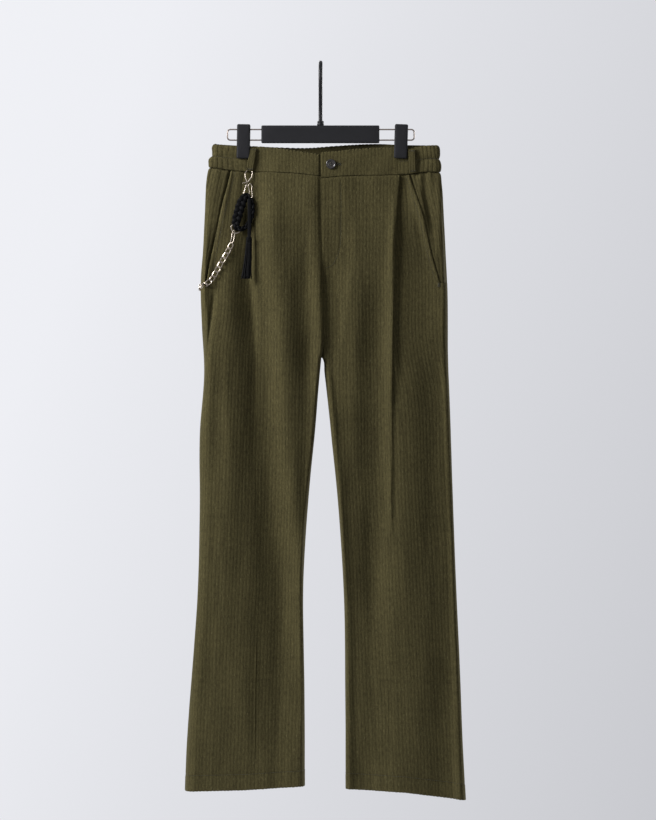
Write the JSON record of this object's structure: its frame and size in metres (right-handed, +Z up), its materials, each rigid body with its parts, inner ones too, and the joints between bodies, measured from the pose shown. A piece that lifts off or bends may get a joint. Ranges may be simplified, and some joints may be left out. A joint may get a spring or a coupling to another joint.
{
  "type": "corduroy trousers on a clip hanger",
  "caption": "Straight-leg wide-wale corduroy trousers with reverse pleats, slanted pockets, an elasticated back waist and a clip-on chain, held flat by a clip hanger.",
  "frame": {"origin": "inside top of the hanger's hook, where it sits on a rail", "axes": "+Z up, -Y towards the front of the trousers, +X towards the wearer's left"},
  "size_m": [0.4492, 0.0866, 1.1823],
  "materials": {
    "corduroy": "wide-wale cotton corduroy, olive brown",
    "black_plastic": "matte",
    "black_steel": "black coated wire",
    "nickel_wire": "dull nickel",
    "dark_horn": "polished, dark brown grey",
    "bright_steel": "bright plated",
    "black_leather": "braided, satin"
  },
  "bodies": {
    "root": {"front_right": "corduroy", "front_left": "corduroy", "back_right": "corduroy", "back_left": "corduroy", "pocket_facing_right": "corduroy", "pocket_facing_left": "corduroy", "waistband_front_right": "corduroy", "waistband_front_left": "corduroy", "waistband_elastic": "corduroy", "belt_loop_right": "corduroy", "belt_loop_left": "corduroy", "belt_loop_back_right": "corduroy", "belt_loop_back_left": "corduroy", "belt_loop_back_centre": "corduroy", "button": "dark_horn", "clasp": "bright_steel", "clasp_swivel": "bright_steel", "tassel_ring": "bright_steel", "fob_ring": "bright_steel", "chain": "bright_steel", "braided_fob": "black_leather", "tassel": "black_leather", "hook": "black_steel", "hook_collar": "black_steel", "bar": "black_plastic", "slide_wire_right": "nickel_wire", "slide_wire_left": "nickel_wire", "clip_right_front": "black_plastic", "clip_right_back": "black_plastic", "clip_right_spring": "nickel_wire", "clip_left_front": "black_plastic", "clip_left_back": "black_plastic", "clip_left_spring": "nickel_wire"}
  },
  "joints": []
}
